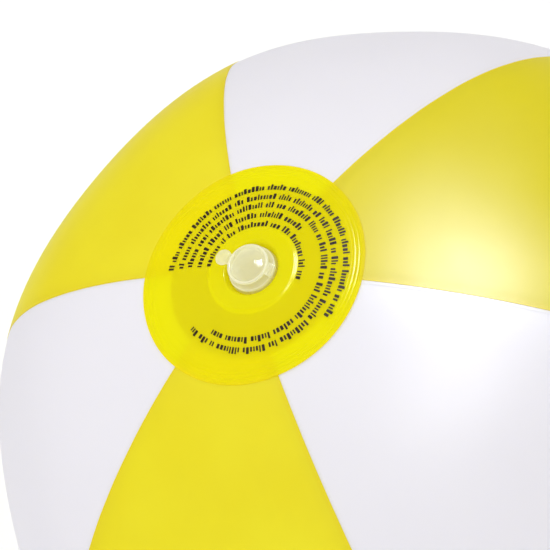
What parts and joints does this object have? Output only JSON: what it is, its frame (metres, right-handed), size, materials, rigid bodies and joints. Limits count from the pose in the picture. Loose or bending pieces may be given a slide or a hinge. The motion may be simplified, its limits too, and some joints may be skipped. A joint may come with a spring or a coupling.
{
  "type": "inflatable beach ball",
  "caption": "Inflated beach ball of alternating translucent and opaque film panels, with pole discs and a push-in oral inflation valve.",
  "frame": {"origin": "centre of the ball, on its pole axis and midway up its height, valve cap included", "axes": "+Z along the pole axis, out through the valve; +Y towards the valve cap's pull tab; +X along the cap's hinge line"},
  "size_m": [0.2598, 0.2598, 0.2364],
  "materials": {
    "white_film": "opaque white soft PVC film, glossy",
    "yellow_film": "translucent lemon yellow soft PVC film, glossy",
    "yellow_disc": "translucent yellow soft PVC film, glossy, with weld rings",
    "clear_valve": "clear soft moulded PVC, slightly milky, glossy"
  },
  "bodies": {
    "envelope": {"white_panel_1": "white_film", "yellow_panel_1": "yellow_film", "white_panel_2": "white_film", "yellow_panel_2": "yellow_film", "white_panel_3": "white_film", "yellow_panel_3": "yellow_film", "valve_disc": "yellow_disc", "base_disc": "yellow_disc", "valve_flange": "clear_valve", "valve_skirt": "clear_valve"},
    "stem": {"valve_stem": "clear_valve", "valve_strap": "clear_valve"},
    "cap": {"valve_cap": "clear_valve"},
    "flap": {"check_flap": "clear_valve"}
  },
  "joints": [
    {"name": "stem_slide", "type": "slide", "parent": "envelope", "child": "stem", "axis": [0, 0, 1], "range_m": [0, 0.009], "deforming": ["valve_skirt"]},
    {"name": "cap_hinge", "type": "hinge", "parent": "stem", "child": "cap", "pos_m": [0, -0.0064, 0.11837], "axis": [1, 0, 0], "range_deg": [0, 150]},
    {"name": "flap_hinge", "type": "hinge", "parent": "stem", "child": "flap", "pos_m": [0, -0.0043, 0.10477], "axis": [-1, 0, 0], "range_deg": [0, 60], "stiffness_Nm_per_rad": 0.0001, "springref_deg": -5.73}
  ]
}
